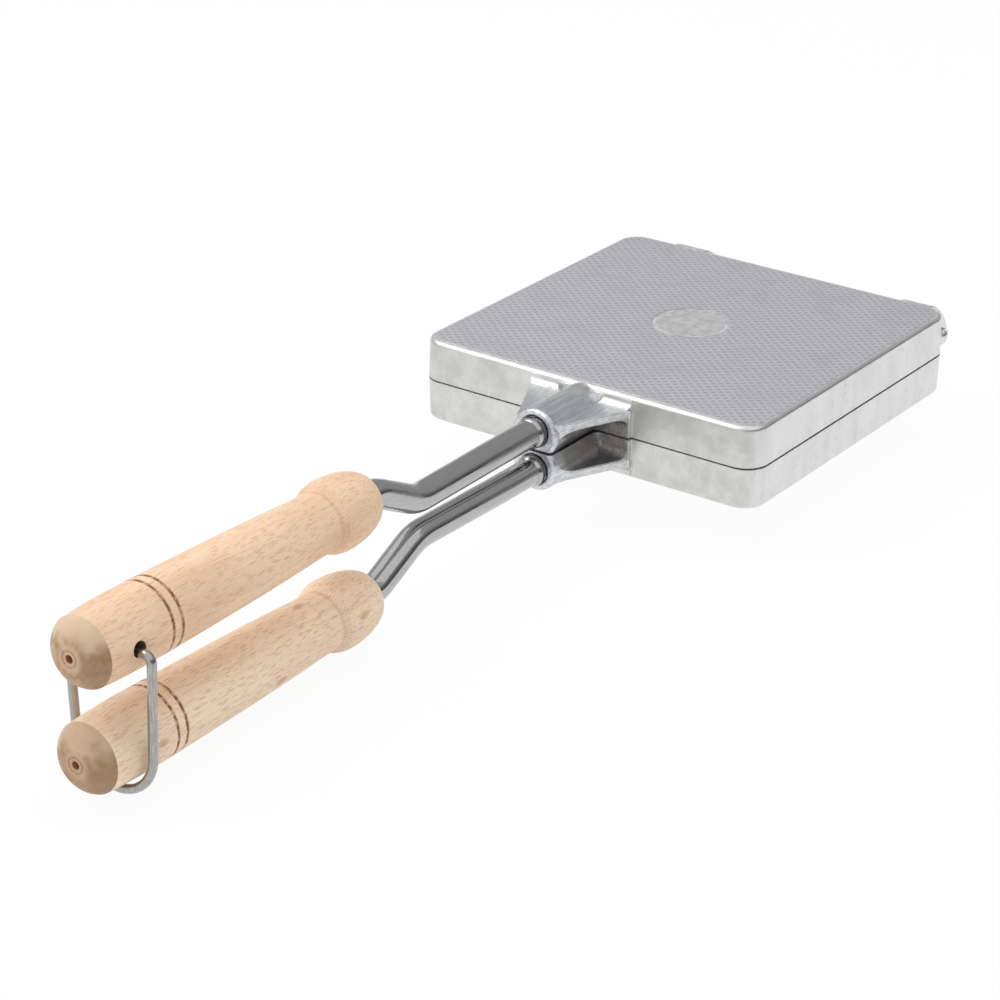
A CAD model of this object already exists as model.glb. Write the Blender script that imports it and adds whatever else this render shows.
import math

import bmesh
import bpy
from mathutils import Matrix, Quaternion, Vector


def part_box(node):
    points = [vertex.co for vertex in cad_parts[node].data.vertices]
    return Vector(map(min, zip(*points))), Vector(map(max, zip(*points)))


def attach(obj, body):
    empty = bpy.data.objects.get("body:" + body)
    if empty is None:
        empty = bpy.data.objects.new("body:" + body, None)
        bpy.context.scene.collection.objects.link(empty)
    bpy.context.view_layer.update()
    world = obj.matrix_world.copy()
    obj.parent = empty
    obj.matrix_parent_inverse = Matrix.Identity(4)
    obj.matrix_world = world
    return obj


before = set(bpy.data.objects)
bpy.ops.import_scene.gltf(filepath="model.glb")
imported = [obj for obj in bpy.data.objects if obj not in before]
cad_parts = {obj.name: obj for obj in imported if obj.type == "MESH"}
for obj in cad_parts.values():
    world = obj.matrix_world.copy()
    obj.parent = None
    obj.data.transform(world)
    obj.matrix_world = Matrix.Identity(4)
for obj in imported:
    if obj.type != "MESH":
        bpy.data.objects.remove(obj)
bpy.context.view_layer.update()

# Lengths are in metres and angles in degrees. X runs across the plates, +Y points from the handles
# to the hinge and +Z is up. z is 0 on the flat underside of the lower plate.

# Camera
view_target = (0.01609, -0.14678, 0.01705)
view_azimuth = 35.620
view_elevation = 25.126
view_roll = 0.441
view_distance = 1.0377
view_lens = 106.91
view_sensor = 36

# Plates, as the part has them
plate_draft = 1.5
plate_depth = 0.147
plate_corner_radius = 0.0095
plate_edge_fillet = 0.0018
emblem_radius = 0.0152
emblem_shift = 0.0015

# Knurl on the outer faces: a net of ridges round small diamond-shaped dimples
knurl_across = 0.00436
knurl_along = 0.00356
knurl_height = 0.00013
knurl_floor = 0.00003
knurl_embed = 0.00006
knurl_border_sides = 0.0001
knurl_border_ends = 0.0007
knurl_emblem_gap = 0.0003
ridge_top_share = 0.09
ridge_foot_share = 0.33
corner_steps = 10
circle_steps = 96

# Handles, as the part has them
grip_radius = 0.0129
crease_from_tip = 0.0058
burn_groove_from_tip = 0.033
burn_groove_pitch = 0.0043
neck_from_tip = 0.1185
pivot_from_tip = 0.0175
cross_hole_radius = 0.00275
centre_hole_radius = 0.0015

# Zones of the castings. Each pair is where the zone has faded out and where it is full;
# z counts from the seam here.
socket_zone_y = (-0.0736, -0.0750)
pocket_zone_y = (-0.0990, -0.0955)
pocket_zone_z = (0.0092, 0.0076)
soot_zone_z = (0.0005, 0.0003)
soot_zone_past_wall = (0.0006, 0.0002)
emblem_rim_inset = 0.0009
emblem_rim_zone = (0.0009, 0.0004)
outer_face_band = 0.0008

# Zones of the handles' ends, as pairs of the same kind
end_right_side = (0.002, 0.007)
end_upper_side = (0.0015, 0.009)
end_centre = (0.006, 0.0035)
end_circle_radius = 0.0028
end_circle_line = (0.0006, 0.0002)
end_edge_wander = 0.0004
end_edge_fade = 0.0003
upper_side_wander = 0.012

# Burned lines, crease and holes of the handles
burn_line = (0.0009, 0.0003)
burn_line_wander = 0.0007
crease_line = (0.0012, 0.0003)
ring_spacing = 0.0026
end_ring_spacing = 0.0019
fleck_cell = (0.0005, 0.0046, 0.0005)
knot_cell = (0.011, 0.02, 0.011)

# Colours of the castings, as linear red, green and blue
side_tones = ((0.71, 0.72, 0.715), (0.775, 0.775, 0.775))
upper_front_tones = ((0.57, 0.58, 0.545), (0.70, 0.705, 0.68))
lower_front_tones = ((0.62, 0.625, 0.59), (0.745, 0.745, 0.725))
wall_stain = (0.5, 0.51, 0.47)
wall_mark = (0.45, 0.45, 0.44)
wall_scratch = (0.92, 0.92, 0.91)
seam_soot = (0.10, 0.10, 0.095)
face_tones = ((0.69, 0.69, 0.70), (0.85, 0.85, 0.86))
worn_face = (0.97, 0.97, 0.97)
socket_tones = ((0.55, 0.56, 0.58), (0.71, 0.72, 0.74))
socket_pit = (0.25, 0.24, 0.23)
socket_grain = (0.95, 0.95, 0.95)
pocket_tone = (0.24, 0.22, 0.20)
knurl_tones = ((0.585, 0.585, 0.625), (0.825, 0.825, 0.865))
knurl_cloud = (0.6, 0.6, 0.61)
knurl_wear = (0.78, 0.78, 0.80)

# Colours of the steel pieces
tube_tones = ((0.42, 0.42, 0.42), (0.50, 0.50, 0.51))
tube_spot = (0.42, 0.41, 0.40)
wire_tones = ((0.32, 0.31, 0.295), (0.48, 0.47, 0.45))
wire_cloud = (0.30, 0.285, 0.27)
rivet_tones = ((0.66, 0.66, 0.67), (0.8, 0.8, 0.8))

# Colours of the beech
blush_tone = (0.80, 0.53, 0.37)
late_wood_tone = (0.66, 0.44, 0.28)
pore_tone = (0.60, 0.40, 0.26)
streak_tone = (0.66, 0.45, 0.29)
fleck_tone = (0.62, 0.33, 0.15)
knot_tone = (0.52, 0.30, 0.15)
end_tones = ((0.53, 0.355, 0.22), (0.45, 0.285, 0.165))
end_patch_tone = (0.38, 0.22, 0.11)
end_pale_tone = (0.68, 0.50, 0.34)
end_right_tone = (0.30, 0.185, 0.11)
end_upper_tone = (0.82, 0.63, 0.45)
end_centre_tone = (0.70, 0.51, 0.345)
end_circle_tone = (0.42, 0.26, 0.15)
end_shade_tone = (0.36, 0.22, 0.125)
char_tone = (0.24, 0.09, 0.028)
crease_tone = (0.45, 0.27, 0.15)
centre_hole_tone = (0.5, 0.24, 0.11)
cross_hole_tone = (0.2, 0.1, 0.045)

# Stage
floor_size = 12.0
floor_clearance = 0.0001
floor_seen_share = 0.93
world_strength = 0.55
backdrop_strength = 1.0
white = (1, 1, 1, 1)

plate_low, plate_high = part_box("upper_plate")
lower_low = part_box("lower_plate")[0]
bail_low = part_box("handle_bail")[0]
seam_z = (plate_high.z + lower_low.z) / 2
face_height = plate_high.z - seam_z
plate_half_width = (plate_high.x - plate_low.x) / 2
draft_inset = face_height * math.tan(math.radians(plate_draft))
edge_inset = draft_inset + plate_edge_fillet


def add(tree, kind, inputs=None, **settings):
    """Adds a node with these settings. An input is a number, a colour or another node's socket."""
    made = tree.nodes.new(kind)
    for key, value in settings.items():
        setattr(made, key, value)
    for key, value in (inputs or {}).items():
        if isinstance(value, bpy.types.NodeSocket):
            tree.links.new(value, made.inputs[key])
        else:
            made.inputs[key].default_value = value
    return made


def calc(tree, operation, *values, clamp=False):
    """The result of a Math node."""
    made = add(tree, "ShaderNodeMath", dict(enumerate(values)), operation=operation, use_clamp=clamp)
    return made.outputs[0]


def product(tree, first, second):
    return calc(tree, "MULTIPLY", first, second)


def distance(tree, first, second):
    """Length of a flat vector with these two parts."""
    squares = [calc(tree, "POWER", part, 2.0) for part in (first, second)]
    return calc(tree, "SQRT", calc(tree, "ADD", *squares))


def size_of(tree, value, centre=None):
    """Absolute value of a value, or of its difference from a centre."""
    if centre is not None:
        value = calc(tree, "SUBTRACT", value, centre)
    return calc(tree, "ABSOLUTE", value)


def span(tree, value, low, high, to_low=0.0, to_high=1.0):
    """Value mapped smoothly from low..high to to_low..to_high, and clamped there."""
    made = add(
        tree, "ShaderNodeMapRange",
        {"Value": value, "From Min": low, "From Max": high, "To Min": to_low, "To Max": to_high},
        interpolation_type="SMOOTHSTEP")
    return made.outputs["Result"]


def mixed(tree, share, first, second):
    """First and second colour, mixed by a share."""
    made = add(tree, "ShaderNodeMix", {"Factor": share}, data_type="RGBA")
    for socket, value in ((made.inputs[6], first), (made.inputs[7], second)):
        if isinstance(value, bpy.types.NodeSocket):
            tree.links.new(value, socket)
        else:
            socket.default_value = (*value, 1)
    return made.outputs[2]


def placed(tree, shift=(0, 0, 0), scale=(1, 1, 1)):
    """The point on the piece in its own frame, shifted and then scaled."""
    point = add(tree, "ShaderNodeTexCoord").outputs["Object"]
    moved = add(tree, "ShaderNodeVectorMath", {0: point, 1: shift}, operation="ADD").outputs[0]
    return add(tree, "ShaderNodeVectorMath", {0: moved, 1: scale}, operation="MULTIPLY").outputs[0]


def noise(tree, size, stretch=(1, 1, 1), detail=2.0, roughness=0.5, shift=(0, 0, 0)):
    """Noise from 0 to 1 with features of this size, drawn out along each axis by stretch."""
    scale = [1 / (size * factor) for factor in stretch]
    made = add(
        tree, "ShaderNodeTexNoise",
        {"Vector": placed(tree, shift, scale), "Scale": 1.0, "Detail": detail, "Roughness": roughness})
    return made.outputs["Fac"]


def cells(tree, shift, size):
    """Random cells of this size: the node's outputs are the distance to the centre and a colour."""
    scale = [1 / length for length in size]
    return add(
        tree, "ShaderNodeTexVoronoi",
        {"Vector": placed(tree, shift, scale), "Scale": 1.0, "Randomness": 1.0},
        voronoi_dimensions="3D", feature="F1").outputs


def axes(tree, vector):
    return add(tree, "ShaderNodeSeparateXYZ", {0: vector}).outputs


def own_normal(tree):
    """Surface normal in the piece's own frame, so that it turns with the piece."""
    return axes(tree, add(tree, "ShaderNodeTexCoord").outputs["Normal"])


def bumped(tree, height, distance, strength=1.0, before=None):
    inputs = {"Height": height, "Distance": distance, "Strength": strength}
    if before is not None:
        inputs["Normal"] = before
    return add(tree, "ShaderNodeBump", inputs).outputs["Normal"]


def empty_material(name):
    material = bpy.data.materials.new(name)
    material.use_nodes = True
    material.node_tree.nodes.clear()
    return material, material.node_tree


def new_material(name):
    material, tree = empty_material(name)
    shader = add(tree, "ShaderNodeBsdfPrincipled")
    add(tree, "ShaderNodeOutputMaterial", {"Surface": shader.outputs[0]})
    return material, tree, shader


def wire_up(tree, shader, **inputs):
    """Connects sockets of the shader; an underscore in a name stands for a space."""
    for key, value in inputs.items():
        socket = shader.inputs[key.replace("_", " ")]
        if isinstance(value, bpy.types.NodeSocket):
            tree.links.new(value, socket)
        else:
            socket.default_value = value


# Materials

def cast_aluminium():
    """Cast plate: ground side walls with upright marks, a drawn and pitted socket, satin outer faces."""
    material, tree, shader = new_material("cast_aluminium")
    x, y, z = axes(tree, placed(tree, (0, 0, -seam_z)))
    facing = own_normal(tree)
    from_seam = size_of(tree, z)
    level = span(tree, size_of(tree, facing[2]), 0.9, 0.98)
    wall = span(tree, size_of(tree, facing[2]), 0.5, 0.2)
    front = span(tree, facing[1], -0.5, -0.9)
    lower = span(tree, z, 0.0002, -0.0002)
    socket = span(tree, y, *socket_zone_y)
    cloud = noise(tree, size=0.010, detail=5.0, roughness=0.65)
    stain = noise(tree, size=0.0032, detail=4.0, roughness=0.6, shift=(0.2, 0.1, 0.3))
    grain = noise(tree, size=0.0004, detail=3.0, roughness=0.6)
    pits = noise(tree, size=0.0008, detail=4.0, roughness=0.7)
    bands = noise(tree, size=0.007, stretch=(1, 1, 5), detail=2.0, roughness=0.5)
    marks = noise(tree, size=0.0005, stretch=(1, 1, 14), detail=3.0, roughness=0.6)
    upright = noise(tree, size=0.0007, stretch=(1, 1, 22), detail=2.0, shift=(0.5, 0.2, 0.1))
    scratches = span(tree, upright, 0.66, 0.72)

    side_tone = mixed(tree, span(tree, bands, 0.3, 0.7), *side_tones)
    upper_tone = mixed(tree, span(tree, cloud, 0.32, 0.68), *upper_front_tones)
    lower_tone = mixed(tree, span(tree, cloud, 0.32, 0.68), *lower_front_tones)
    front_tone = mixed(tree, lower, upper_tone, lower_tone)
    colour = mixed(tree, front, side_tone, front_tone)
    colour = mixed(tree, span(tree, stain, 0.52, 0.72, 0.0, 0.3), colour, wall_stain)
    mark_share = product(tree, marks, span(tree, front, 0.0, 1.0, 0.05, 0.16))
    colour = mixed(tree, mark_share, colour, wall_mark)
    colour = mixed(tree, product(tree, scratches, 0.35), colour, wall_scratch)

    soot = product(tree, span(tree, from_seam, *soot_zone_z), calc(tree, "SUBTRACT", 1.0, level))
    past_wall = [plate_depth / 2 + length for length in soot_zone_past_wall]
    soot = product(tree, soot, span(tree, y, *past_wall))
    colour = mixed(tree, product(tree, soot, 0.85), colour, seam_soot)

    face_tone = mixed(tree, span(tree, stain, 0.35, 0.65), *face_tones)
    from_emblem = distance(tree, x, calc(tree, "SUBTRACT", y, emblem_shift))
    rim_away = size_of(tree, from_emblem, emblem_radius - emblem_rim_inset)
    outside = calc(tree, "GREATER_THAN", from_seam, face_height - outer_face_band)
    rim = product(tree, span(tree, rim_away, *emblem_rim_zone), outside)
    worn_rim = product(tree, rim, span(tree, noise(tree, size=0.006, detail=2.0), 0.42, 0.6))
    face_tone = mixed(tree, worn_rim, face_tone, worn_face)
    colour = mixed(tree, level, colour, face_tone)

    drawn = noise(
        tree, size=0.0012, stretch=(1, 9, 1), detail=4.0, roughness=0.6, shift=(0.1, 0.4, 0.2))
    socket_tone = mixed(tree, span(tree, drawn, 0.35, 0.65), *socket_tones)
    socket_tone = mixed(tree, span(tree, pits, 0.58, 0.72, 0.0, 0.5), socket_tone, socket_pit)
    socket_tone = mixed(tree, span(tree, grain, 0.6, 0.75, 0.0, 0.25), socket_tone, socket_grain)
    pocket = product(tree, span(tree, from_seam, *pocket_zone_z), span(tree, y, *pocket_zone_y))
    socket_tone = mixed(tree, product(tree, pocket, 0.6), socket_tone, pocket_tone)
    colour = mixed(tree, socket, colour, socket_tone)

    roughness = span(tree, cloud, 0.3, 0.7, 0.34, 0.26)
    roughness = calc(tree, "ADD", roughness, product(tree, grain, 0.08))
    roughness = calc(tree, "ADD", roughness, product(tree, level, 0.2))
    roughness = calc(tree, "SUBTRACT", roughness, product(tree, socket, 0.14))
    filed = noise(tree, size=0.00045, stretch=(1, 14, 1), detail=3.0, roughness=0.6)
    dents = noise(
        tree, size=0.0035, stretch=(1, 2.5, 1), detail=2.0, roughness=0.5, shift=(0.3, 0.2, 0.4))
    normal = bumped(tree, grain, distance=0.00004, strength=0.35)
    normal = bumped(tree, product(tree, marks, wall), distance=0.00004, strength=0.6, before=normal)
    normal = bumped(tree, product(tree, dents, socket), distance=0.0006, strength=0.6, before=normal)
    normal = bumped(tree, product(tree, filed, socket), distance=0.00006, strength=0.45, before=normal)
    normal = bumped(tree, product(tree, pits, socket), distance=0.0003, strength=0.6, before=normal)
    wire_up(tree, shader, Base_Color=colour, Roughness=roughness, Normal=normal, Metallic=1.0)
    return material


def knurled_aluminium():
    """Skin of the outer faces: a little brighter on the ridges, dull with old heat in the dimples."""
    material, tree, shader = new_material("knurled_aluminium")
    z = axes(tree, placed(tree, (0, 0, -seam_z)))[2]
    rise = calc(tree, "SUBTRACT", size_of(tree, z), face_height)
    ridge = span(tree, rise, knurl_floor, knurl_height)
    cloud = noise(tree, size=0.018, detail=4.0, roughness=0.6)
    wear = noise(tree, size=0.0016, detail=3.0, roughness=0.6)
    grain = noise(tree, size=0.0004, detail=3.0, roughness=0.6)
    colour = mixed(tree, ridge, *knurl_tones)
    colour = mixed(tree, span(tree, cloud, 0.4, 0.75, 0.0, 0.25), colour, knurl_cloud)
    colour = mixed(tree, span(tree, wear, 0.55, 0.75, 0.0, 0.3), colour, knurl_wear)
    roughness = calc(tree, "ADD", span(tree, ridge, 0.0, 1.0, 0.5, 0.4), product(tree, grain, 0.1))
    normal = bumped(tree, grain, distance=0.00005, strength=0.4)
    wire_up(tree, shader, Base_Color=colour, Roughness=roughness, Normal=normal, Metallic=1.0)
    return material


def polished_steel():
    """Bright drawn tube, with fine lines along its length."""
    material, tree, shader = new_material("polished_steel")
    lines = noise(tree, size=0.0003, stretch=(1, 40, 1), detail=3.0, roughness=0.6)
    cloud = noise(tree, size=0.007, stretch=(1, 2, 1), detail=3.0)
    spots = noise(tree, size=0.0012, detail=3.0, roughness=0.6)
    colour = mixed(tree, span(tree, lines, 0.3, 0.75), *tube_tones)
    colour = mixed(tree, span(tree, spots, 0.62, 0.75, 0.0, 0.3), colour, tube_spot)
    roughness = calc(tree, "ADD", span(tree, cloud, 0.3, 0.7, 0.1, 0.18), product(tree, lines, 0.06))
    normal = bumped(tree, lines, distance=0.00001, strength=0.3)
    wire_up(tree, shader, Base_Color=colour, Roughness=roughness, Normal=normal, Metallic=1.0)
    return material


def satin_wire():
    """Stainless wire with a drawn satin finish."""
    material, tree, shader = new_material("satin_wire")
    lines = noise(tree, size=0.0003, stretch=(1, 1, 14), detail=3.0, roughness=0.6)
    cloud = noise(tree, size=0.004, detail=3.0)
    colour = mixed(tree, span(tree, lines, 0.3, 0.7), *wire_tones)
    colour = mixed(tree, span(tree, cloud, 0.5, 0.75, 0.0, 0.4), colour, wire_cloud)
    roughness = calc(tree, "ADD", span(tree, cloud, 0.3, 0.7, 0.16, 0.26), product(tree, lines, 0.08))
    normal = bumped(tree, lines, distance=0.00002, strength=0.4)
    wire_up(tree, shader, Base_Color=colour, Roughness=roughness, Normal=normal, Metallic=1.0)
    return material


def rivet_steel():
    """Zinc-plated rivets and pins, slightly hammered."""
    material, tree, shader = new_material("rivet_steel")
    cloud = noise(tree, size=0.0018, detail=3.0)
    grain = noise(tree, size=0.0004, detail=3.0, roughness=0.6)
    colour = mixed(tree, span(tree, cloud, 0.3, 0.7), *rivet_tones)
    roughness = calc(tree, "ADD", span(tree, cloud, 0.3, 0.7, 0.2, 0.3), product(tree, grain, 0.08))
    normal = bumped(tree, grain, distance=0.00003, strength=0.3)
    normal = bumped(tree, cloud, distance=0.00012, strength=0.4, before=normal)
    wire_up(tree, shader, Base_Color=colour, Roughness=roughness, Normal=normal, Metallic=1.0)
    return material


def end_grain_tone(tree, x, z, radius, from_pith, seed, end_shade):
    """Colour of a handle's turned end: rings, darker and paler patches and a burned circle."""
    patches = noise(tree, size=0.0045, detail=4.0, roughness=0.6, shift=seed)
    pale = noise(tree, size=0.005, detail=1.5, roughness=0.4, shift=[value + 0.3 for value in seed])
    turns = calc(
        tree, "ADD", calc(tree, "DIVIDE", from_pith, end_ring_spacing), product(tree, patches, 1.5))
    rings = span(tree, calc(tree, "FRACT", turns), 0.2, 0.95, 0.0, 0.8)
    upper_side = calc(
        tree, "ADD", z, product(tree, calc(tree, "SUBTRACT", pale, 0.5), upper_side_wander))
    circle = size_of(tree, radius, end_circle_radius)
    tone = mixed(tree, rings, *end_tones)
    tone = mixed(tree, span(tree, patches, 0.48, 0.62, 0.0, 0.75), tone, end_patch_tone)
    tone = mixed(tree, span(tree, pale, 0.5, 0.66, 0.0, 0.4), tone, end_pale_tone)
    tone = mixed(tree, span(tree, x, *end_right_side, 0.0, 0.6), tone, end_right_tone)
    tone = mixed(tree, span(tree, upper_side, *end_upper_side, 0.0, 0.75), tone, end_upper_tone)
    tone = mixed(tree, span(tree, radius, *end_centre, 0.0, 0.6), tone, end_centre_tone)
    tone = mixed(tree, span(tree, circle, *end_circle_line, 0.0, 0.3), tone, end_circle_tone)
    return mixed(tree, end_shade, tone, end_shade_tone)


def burned_share(tree, y, seed):
    """How far the two lines burned round a handle have charred the wood."""
    edge = noise(tree, size=0.0007, detail=2.0, shift=seed)
    edge_shift = product(tree, calc(tree, "SUBTRACT", edge, 0.5), burn_line_wander)
    strength = span(tree, noise(tree, size=0.0017, detail=2.0, shift=seed), 0.35, 0.6, 0.45, 1.0)
    lines = []
    for place in (burn_groove_from_tip, burn_groove_from_tip + burn_groove_pitch):
        away = calc(tree, "ADD", size_of(tree, y, place), edge_shift)
        lines.append(span(tree, away, *burn_line))
    return product(tree, calc(tree, "MAXIMUM", *lines), strength)


def beech(name, node, pith, seed, dark, light, knots, end_shade, bored_across):
    """Turned beech: pale, with short darker flecks along the grain, growth rings and burned lines."""
    material, tree, shader = new_material(name)
    low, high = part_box(node)
    x, y, z = axes(tree, placed(tree, (0, -low.y, -(low.z + high.z) / 2)))
    radius = distance(tree, x, z)

    wander = noise(tree, size=0.03, stretch=(1, 3, 1), detail=2.0, shift=seed)
    from_pith = distance(tree, calc(tree, "SUBTRACT", x, pith[0]), calc(tree, "SUBTRACT", z, pith[1]))
    turns = calc(tree, "ADD", calc(tree, "DIVIDE", from_pith, ring_spacing), product(tree, wander, 3.0))
    late_wood = calc(tree, "POWER", calc(tree, "FRACT", turns), 3.0)
    fleck_cells = cells(tree, seed, fleck_cell)
    chance = add(tree, "ShaderNodeSeparateColor", {0: fleck_cells["Color"]}).outputs[0]
    reach = span(tree, chance, 0.0, 1.0, 0.27, 0.46)
    fleck = span(tree, calc(tree, "SUBTRACT", reach, fleck_cells["Distance"]), 0.0, 0.1)
    knot = span(tree, cells(tree, seed, knot_cell)["Distance"], 0.2, 0.08, 0.0, knots)
    pores = noise(tree, size=0.00025, stretch=(1, 9, 1), detail=2.0, roughness=0.6, shift=seed)
    streaks = noise(tree, size=0.0011, stretch=(1, 26, 1), detail=3.0, roughness=0.6, shift=seed)
    broad = noise(tree, size=0.012, stretch=(1, 4, 1), detail=3.0, shift=seed)
    blush = noise(tree, size=0.014, stretch=(1, 5, 1), detail=2.0, shift=[-value for value in seed])

    colour = mixed(tree, span(tree, broad, 0.3, 0.7), dark, light)
    colour = mixed(tree, span(tree, blush, 0.55, 0.75, 0.0, 0.45), colour, blush_tone)
    colour = mixed(tree, product(tree, late_wood, 0.16), colour, late_wood_tone)
    colour = mixed(tree, span(tree, pores, 0.5, 0.8, 0.0, 0.25), colour, pore_tone)
    colour = mixed(tree, span(tree, streaks, 0.5, 0.75, 0.0, 0.3), colour, streak_tone)
    fleck_share = product(tree, fleck, span(tree, chance, 0.0, 1.0, 0.22, 0.55))
    colour = mixed(tree, fleck_share, colour, fleck_tone)
    colour = mixed(tree, knot, colour, knot_tone)

    end_edge = calc(tree, "ADD", y, product(tree, wander, end_edge_wander))
    at_end = span(tree, end_edge, crease_from_tip + end_edge_fade, crease_from_tip)
    colour = mixed(tree, at_end, colour, end_grain_tone(tree, x, z, radius, from_pith, seed, end_shade))
    colour = mixed(tree, burned_share(tree, y, seed), colour, char_tone)
    crease = span(tree, size_of(tree, y, neck_from_tip), *crease_line, 0.0, 0.25)
    colour = mixed(tree, crease, colour, crease_tone)

    in_centre_hole = product(
        tree, span(tree, radius, centre_hole_radius * 1.15, centre_hole_radius),
        span(tree, y, 0.0, end_edge_fade))
    colour = mixed(tree, product(tree, in_centre_hole, 0.8), colour, centre_hole_tone)
    if bored_across:
        hole_away = distance(tree, calc(tree, "SUBTRACT", y, pivot_from_tip), z)
        in_cross_hole = product(
            tree, span(tree, hole_away, cross_hole_radius * 1.08, cross_hole_radius),
            calc(tree, "LESS_THAN", radius, grip_radius * 0.985))
        colour = mixed(tree, product(tree, in_cross_hole, 0.8), colour, cross_hole_tone)

    roughness = calc(tree, "ADD", span(tree, broad, 0.3, 0.7, 0.42, 0.52), product(tree, fleck, 0.12))
    relief = calc(tree, "ADD", product(tree, fleck, -1.0), product(tree, pores, 0.5))
    normal = bumped(tree, relief, distance=0.00006, strength=0.5)
    wire_up(
        tree, shader, Base_Color=colour, Roughness=roughness, Normal=normal, Metallic=0.0,
        Specular_IOR_Level=0.2)
    return material


# Added pieces

def rounded_outline(half_x, half_y, radius, steps):
    """Points of a rounded rectangle round the origin, anticlockwise."""
    points = []
    for corner, (sign_x, sign_y) in enumerate([(1, 1), (-1, 1), (-1, -1), (1, -1)]):
        centre = Vector((sign_x * (half_x - radius), sign_y * (half_y - radius)))
        for step in range(steps + 1):
            angle = math.radians(90 * (corner + step / steps))
            points.append(centre + radius * Vector((math.cos(angle), math.sin(angle))))
    return points


def prism(name, outline, low, high):
    """Closed prism over an outline."""
    shape = bmesh.new()
    bottom = [shape.verts.new((*point, low)) for point in outline]
    top = [shape.verts.new((*point, high)) for point in outline]
    shape.faces.new(bottom[::-1])
    shape.faces.new(top)
    count = len(outline)
    for index in range(count):
        after = (index + 1) % count
        shape.faces.new((bottom[index], bottom[after], top[after], top[index]))
    return linked(name, shape)


def linked(name, shape):
    """New object from a bmesh, in the scene."""
    mesh = bpy.data.meshes.new(name)
    shape.to_mesh(mesh)
    shape.free()
    made = bpy.data.objects.new(name, mesh)
    bpy.context.scene.collection.objects.link(made)
    return made


def boolean(target, tool, operation):
    """Applies a boolean with another object, which is then deleted."""
    modifier = target.modifiers.new("cut", "BOOLEAN")
    modifier.object = tool
    modifier.operation = operation
    modifier.solver = "EXACT"
    bpy.context.view_layer.update()
    graph = bpy.context.evaluated_depsgraph_get()
    result = bpy.data.meshes.new_from_object(target.evaluated_get(graph))
    target.modifiers.clear()
    target.data = result
    bpy.data.objects.remove(tool)


def ridge_rise(place):
    """Rise of the net, 0 to 1, across one family of ridges; place counts cells."""
    away = abs(place - round(place))
    share = (ridge_foot_share - away) / (ridge_foot_share - ridge_top_share)
    return min(1.0, max(0.0, share))


def knurl_block(name, face_z, low_z, half_x, half_y):
    """Closed block whose upper side is the net of ridges, larger than the face it will cover."""
    cell_places = (-ridge_top_share, ridge_top_share, ridge_foot_share, 1 - ridge_foot_share)
    reach = math.ceil(half_x / knurl_across + half_y / knurl_along) + 1
    places = [cell + share for cell in range(-reach, reach) for share in cell_places]
    places.append(reach - ridge_top_share)
    shape = bmesh.new()
    rows = []
    for u in places:
        row = []
        for v in places:
            x = (u - v) / 2 * knurl_across
            y = (u + v) / 2 * knurl_along
            if abs(x) > half_x + knurl_across or abs(y) > half_y + knurl_along:
                row.append(None)
                continue
            rise = max(ridge_rise(u), ridge_rise(v)) * (knurl_height - knurl_floor)
            row.append(shape.verts.new((x, y, face_z + knurl_floor + rise)))
        rows.append(row)
    for first, second in zip(rows, rows[1:]):
        for a, b, c, d in zip(first, second, second[1:], first[1:]):
            if a and b and c and d:
                shape.faces.new((a, b, c, d))
    loose = [vertex for vertex in shape.verts if not vertex.link_faces]
    bmesh.ops.delete(shape, geom=loose, context="VERTS")
    rim = [edge for edge in shape.edges if edge.is_boundary]
    skirt = bmesh.ops.extrude_edge_only(shape, edges=rim)["geom"]
    for vertex in (item for item in skirt if isinstance(item, bmesh.types.BMVert)):
        vertex.co.z = low_z
    bottom = [item for item in skirt if isinstance(item, bmesh.types.BMEdge) and item.is_boundary]
    bmesh.ops.contextual_create(shape, geom=bottom)
    bmesh.ops.recalc_face_normals(shape, faces=shape.faces)
    return linked(name, shape)


def knurl_skin(name, body, turned_over):
    """The knurled skin on one outer face, cut to the face and round the emblem."""
    half_x = plate_half_width - edge_inset - knurl_border_sides
    half_y = plate_depth / 2 - edge_inset - knurl_border_ends
    radius = plate_corner_radius - edge_inset
    low_z = face_height - knurl_embed
    skin = knurl_block(name, face_height, low_z, half_x, half_y)
    cutter_low = low_z - knurl_height
    cutter_high = face_height + 3 * knurl_height
    outline = rounded_outline(half_x, half_y, radius, corner_steps)
    boolean(skin, prism("face_cutter", outline, cutter_low, cutter_high), "INTERSECT")
    hole_radius = emblem_radius + knurl_emblem_gap
    circle = [
        Vector((hole_radius * math.cos(angle), emblem_shift + hole_radius * math.sin(angle)))
        for angle in (2 * math.pi * step / circle_steps for step in range(circle_steps))
    ]
    boolean(skin, prism("emblem_cutter", circle, cutter_low, cutter_high), "DIFFERENCE")
    if turned_over:
        for vertex in skin.data.vertices:
            vertex.co.x *= -1
            vertex.co.z *= -1
    for vertex in skin.data.vertices:
        vertex.co.z += seam_z
    skin.data.update()
    skin.data.materials.clear()
    skin.data.materials.append(bpy.data.materials["knurled_aluminium"])
    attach(skin, body)


# Stage

def look(obj, towards):
    obj.rotation_mode = "QUATERNION"
    obj.rotation_quaternion = (Vector(towards) - obj.location).to_track_quat("-Z", "Y")


def make_camera():
    data = bpy.data.cameras.new("camera")
    data.lens = view_lens
    data.sensor_width = view_sensor
    camera = bpy.data.objects.new("camera", data)
    azimuth, elevation = math.radians(view_azimuth), math.radians(view_elevation)
    back = Vector((
        math.sin(azimuth) * math.cos(elevation), -math.cos(azimuth) * math.cos(elevation),
        math.sin(elevation)))
    camera.location = Vector(view_target) + back * view_distance
    camera.rotation_mode = "QUATERNION"
    roll = Quaternion((0, 0, 1), math.radians(view_roll))
    camera.rotation_quaternion = (-back).to_track_quat("-Z", "Y") @ roll
    bpy.context.scene.collection.objects.link(camera)
    bpy.context.scene.camera = camera


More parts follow.
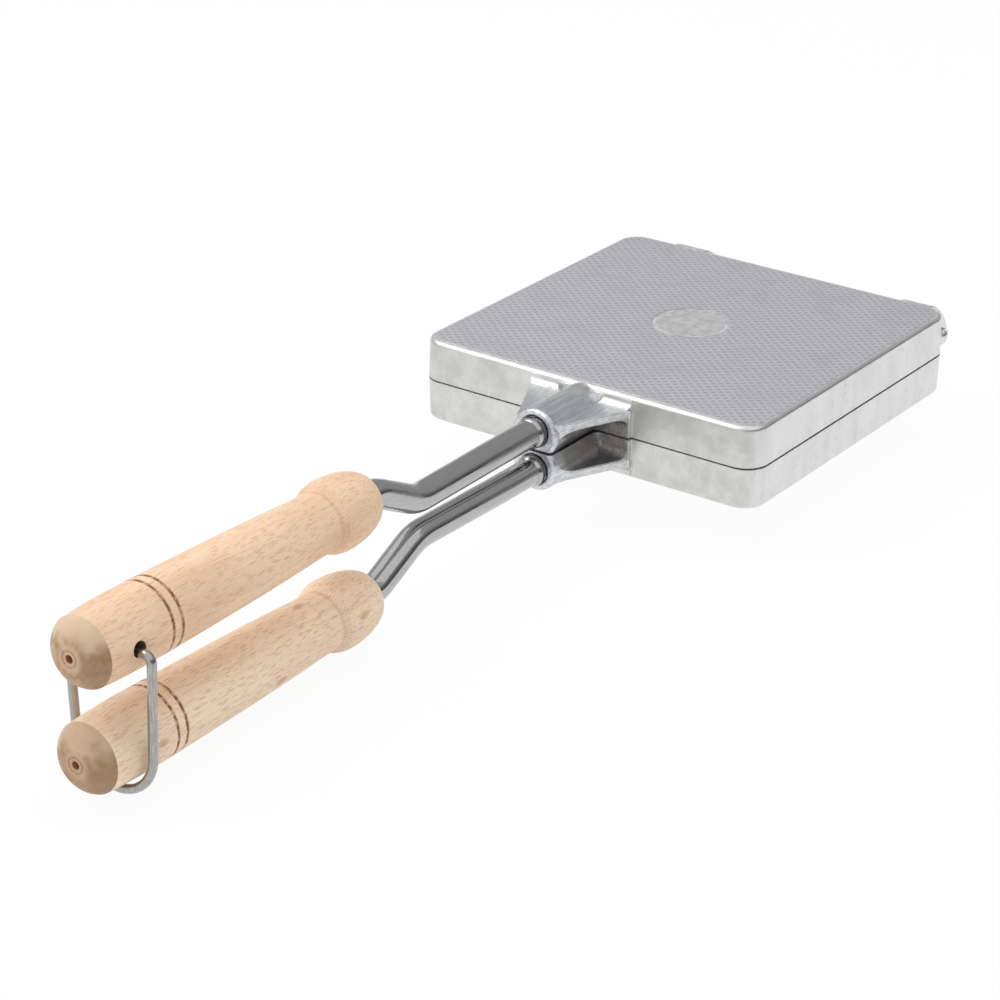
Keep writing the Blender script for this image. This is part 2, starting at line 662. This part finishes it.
def seen_share(tree):
    """1 for rays from the camera and for rays that metal or glass sends on, else 0."""
    path = add(tree, "ShaderNodeLightPath").outputs
    seen = calc(tree, "MAXIMUM", path["Is Camera Ray"], path["Is Glossy Ray"])
    return calc(tree, "MAXIMUM", seen, path["Is Transmission Ray"])


def make_world():
    world = bpy.data.worlds.new("studio")
    world.use_nodes = True
    tree = world.node_tree
    tree.nodes.clear()
    lighting = add(tree, "ShaderNodeBackground", {"Color": white, "Strength": world_strength})
    backdrop = add(tree, "ShaderNodeBackground", {"Color": white, "Strength": backdrop_strength})
    both = add(
        tree, "ShaderNodeMixShader",
        {0: seen_share(tree), 1: lighting.outputs[0], 2: backdrop.outputs[0]})
    add(tree, "ShaderNodeOutputWorld", {"Surface": both.outputs[0]})
    bpy.context.scene.world = world


def make_floor():
    """The table: level, and just below the lowest point that the press has at any pose."""
    shape = bmesh.new()
    bmesh.ops.create_grid(shape, x_segments=1, y_segments=1, size=floor_size / 2)
    floor = linked("floor", shape)
    floor.location = (0, 0, bail_low.z - floor_clearance)
    material, tree = empty_material("floor")
    lit = add(tree, "ShaderNodeBsdfDiffuse", {"Color": white})
    seen = add(tree, "ShaderNodeEmission", {"Color": white, "Strength": backdrop_strength})
    share = product(tree, seen_share(tree), floor_seen_share)
    both = add(tree, "ShaderNodeMixShader", {0: share, 1: lit.outputs[0], 2: seen.outputs[0]})
    add(tree, "ShaderNodeOutputMaterial", {"Surface": both.outputs[0]})
    floor.data.materials.append(material)


def softbox(name, place, towards, size, power, seen_in_metal):
    """Square area lamp; metal shows it or only its light on other surfaces counts."""
    data = bpy.data.lights.new(name, "AREA")
    data.shape = "RECTANGLE"
    data.size = size
    data.size_y = size
    data.energy = power
    lamp = bpy.data.objects.new(name, data)
    lamp.location = place
    lamp.visible_glossy = seen_in_metal
    look(lamp, towards)
    bpy.context.scene.collection.objects.link(lamp)


def card(name, place, towards, width, height, greys):
    """Card that only the metal sees, with the first grey at its foot and the second at its top."""
    shape = bmesh.new()
    bmesh.ops.create_grid(shape, x_segments=1, y_segments=1, size=0.5)
    made = linked(name, shape)
    made.location = place
    look(made, towards)
    made.scale = (width, height, 1)
    material, tree = empty_material(name)
    height_share = axes(tree, placed(tree, (0, 0.5, 0)))[1]
    tone = mixed(tree, span(tree, height_share, 0.0, 1.0), *((grey,) * 3 for grey in greys))
    shade = add(tree, "ShaderNodeEmission", {"Color": tone, "Strength": 1.0})
    add(tree, "ShaderNodeOutputMaterial", {"Surface": shade.outputs[0]})
    made.data.materials.append(material)
    made.visible_camera = False
    made.visible_diffuse = False
    made.visible_shadow = False


def finish_node(node, material):
    """Gives a node of the part its material."""
    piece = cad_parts[node]
    if not piece.material_slots:
        piece.data.materials.append(material)
    for place in piece.material_slots:
        place.material = material


bpy.context.scene.view_settings.view_transform = "Standard"
make_camera()
make_world()
make_floor()
softbox("key", place=(-0.75, -0.75, 1.15), towards=view_target, size=0.9, power=9, seen_in_metal=True)
softbox("top", place=(0.1, 0.1, 1.5), towards=view_target, size=1.2, power=9, seen_in_metal=False)
card(
    "back_card", place=(0.0, 1.6, 1.6), towards=(0.0, 0.0, 1.6), width=6.0, height=3.3,
    greys=(0.43, 0.51))
card(
    "right_card", place=(0.5, 0.0, 0.14), towards=(0.0, 0.0, 0.14), width=3.0, height=0.32,
    greys=(0.03, 0.33))
card(
    "left_card", place=(-0.9, 0.5, 0.29), towards=(0.0, 0.5, 0.29), width=2.6, height=0.62,
    greys=(0.8, 0.33))

knurled_aluminium()
materials = (
    (cast_aluminium(), ("lower_plate", "upper_plate")),
    (polished_steel(), ("lower_arm", "upper_arm")),
    (rivet_steel(), ("lower_arm_pin", "upper_arm_pin", "hinge_rivet_left", "hinge_rivet_right")),
    (satin_wire(), ("handle_bail",)),
)
for material, nodes in materials:
    for node in nodes:
        finish_node(node, material)
finish_node("lower_handle", beech(
    "beech_lower", "lower_handle", pith=(0.021, -0.026), seed=(0.13, 0.07, 0.29),
    dark=(0.92, 0.72, 0.53), light=(0.98, 0.80, 0.62), knots=0.6, end_shade=0.35,
    bored_across=False))
finish_node("upper_handle", beech(
    "beech_upper", "upper_handle", pith=(-0.024, 0.019), seed=(0.41, 0.53, 0.17),
    dark=(0.79, 0.55, 0.365), light=(0.90, 0.67, 0.475), knots=0.0, end_shade=0.15,
    bored_across=True))

knurl_skin("upper_knurl", "lid", turned_over=False)
knurl_skin("lower_knurl", "base", turned_over=True)
